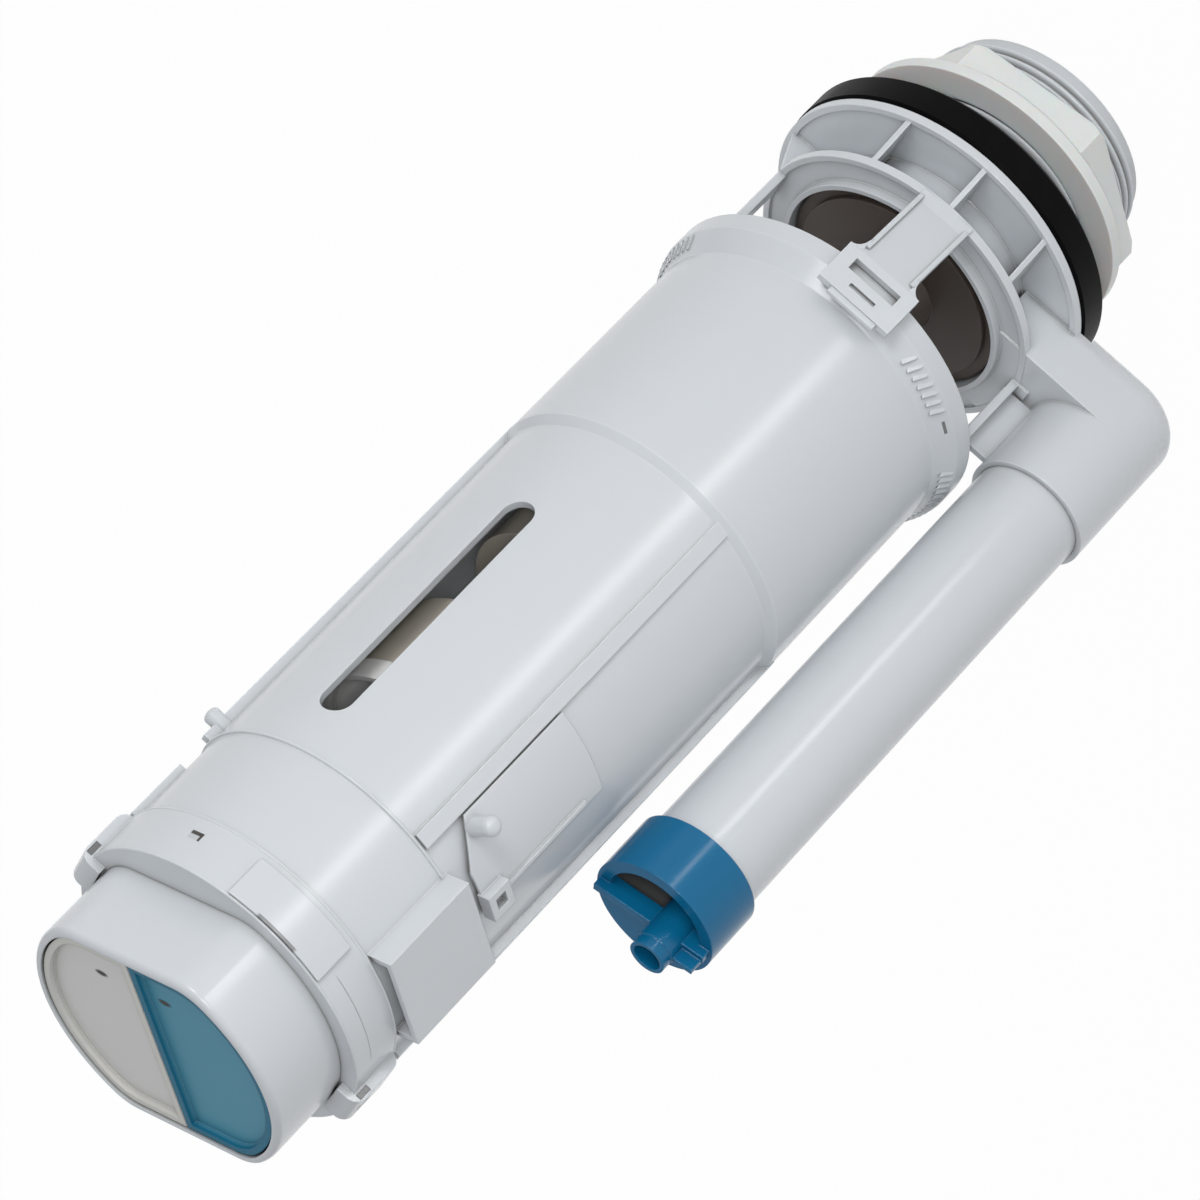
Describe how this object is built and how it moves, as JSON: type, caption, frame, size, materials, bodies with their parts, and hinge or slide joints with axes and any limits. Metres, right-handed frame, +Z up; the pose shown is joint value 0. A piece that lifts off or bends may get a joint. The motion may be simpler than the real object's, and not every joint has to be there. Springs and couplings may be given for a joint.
{
  "type": "toilet flush valve",
  "caption": "Dual-flush cistern valve: threaded outlet with gasket and back nut, tower with floats and push buttons, overflow tube beside it.",
  "frame": {"origin": "on the outlet's axis, in the plane of the gasket's lower face, which rests on the cistern floor", "axes": "+Z up the tower to the push buttons, -Y to the front with the release clip, -X to the overflow tube"},
  "size_m": [0.1188, 0.0889, 0.3294],
  "materials": {
    "housing": "satin",
    "tower": "satin",
    "inner": "satin",
    "float": "satin",
    "nut": "translucent satin",
    "rubber": "matt",
    "seal": "matt",
    "dark": "satin",
    "cap": "gloss",
    "blue_button": "satin",
    "grey_button": "satin",
    "steel": "plain"
  },
  "bodies": {
    "frame": {"base_housing": "housing", "sealing_gasket": "rubber", "overflow_tube": "tower", "overflow_cap": "cap", "tower_body": "tower", "rocker_pins": "steel", "clamp_collar": "tower", "head_shell": "tower"},
    "nut": {"back_nut": "nut"},
    "slide": {"volume_slide": "tower"},
    "full_button": {"full_flush_button": "blue_button", "full_push_rod": "inner", "full_button_spring": "steel"},
    "half_button": {"half_flush_button": "grey_button", "half_push_rod": "inner", "half_button_spring": "steel"},
    "full_rocker": {"full_rocker": "inner"},
    "half_rocker": {"half_rocker": "inner"},
    "valve": {"valve_stem": "inner", "stem_rod": "inner", "lift_head": "inner", "valve_disc": "dark", "seat_seal": "seal", "seal_retainer": "dark", "main_float": "float"},
    "half_float": {"half_float": "float", "float_ring": "inner", "lift_sleeve": "inner", "sleeve_flange": "inner"}
  },
  "joints": [
    {"name": "nut_travel", "type": "slide", "parent": "frame", "child": "nut", "axis": [0, 0, -1], "range_m": [-0.0104, 0.02]},
    {"name": "volume_set", "type": "slide", "parent": "frame", "child": "slide", "axis": [0, 0, -1], "range_m": [0, 0.045]},
    {"name": "full_press", "type": "slide", "parent": "frame", "child": "full_button", "axis": [0, 0, -1], "range_m": [0, 0.005], "stiffness_N_per_m": 220, "springref_m": -0.008, "deforming": ["full_button_spring"]},
    {"name": "half_press", "type": "slide", "parent": "frame", "child": "half_button", "axis": [0, 0, -1], "range_m": [0, 0.005], "stiffness_N_per_m": 220, "springref_m": -0.008, "deforming": ["half_button_spring"]},
    {"name": "full_swing", "type": "hinge", "parent": "frame", "child": "full_rocker", "pos_m": [-0.01345, -0.00956, 0.234], "axis": [0.5793, -0.8151, 0], "range_deg": [0, 36.5]},
    {"name": "half_swing", "type": "hinge", "parent": "frame", "child": "half_rocker", "pos_m": [0.01345, 0.00956, 0.224], "axis": [-0.5793, 0.8151, 0], "range_deg": [0, 36.5]},
    {"name": "valve_lift", "type": "slide", "parent": "frame", "child": "valve", "axis": [0, 0, 1], "range_m": [0, 0.0085]},
    {"name": "half_float_lift", "type": "slide", "parent": "frame", "child": "half_float", "axis": [0, 0, 1], "range_m": [0, 0.0085]}
  ],
  "couplings": [
    {"joint": "full_swing", "follows": "full_press", "rad_per_m": 125.66},
    {"joint": "valve_lift", "follows": "full_press", "ratio": 1.6},
    {"joint": "half_swing", "follows": "half_press", "rad_per_m": 125.66},
    {"joint": "half_float_lift", "follows": "half_press", "ratio": 1.6}
  ]
}
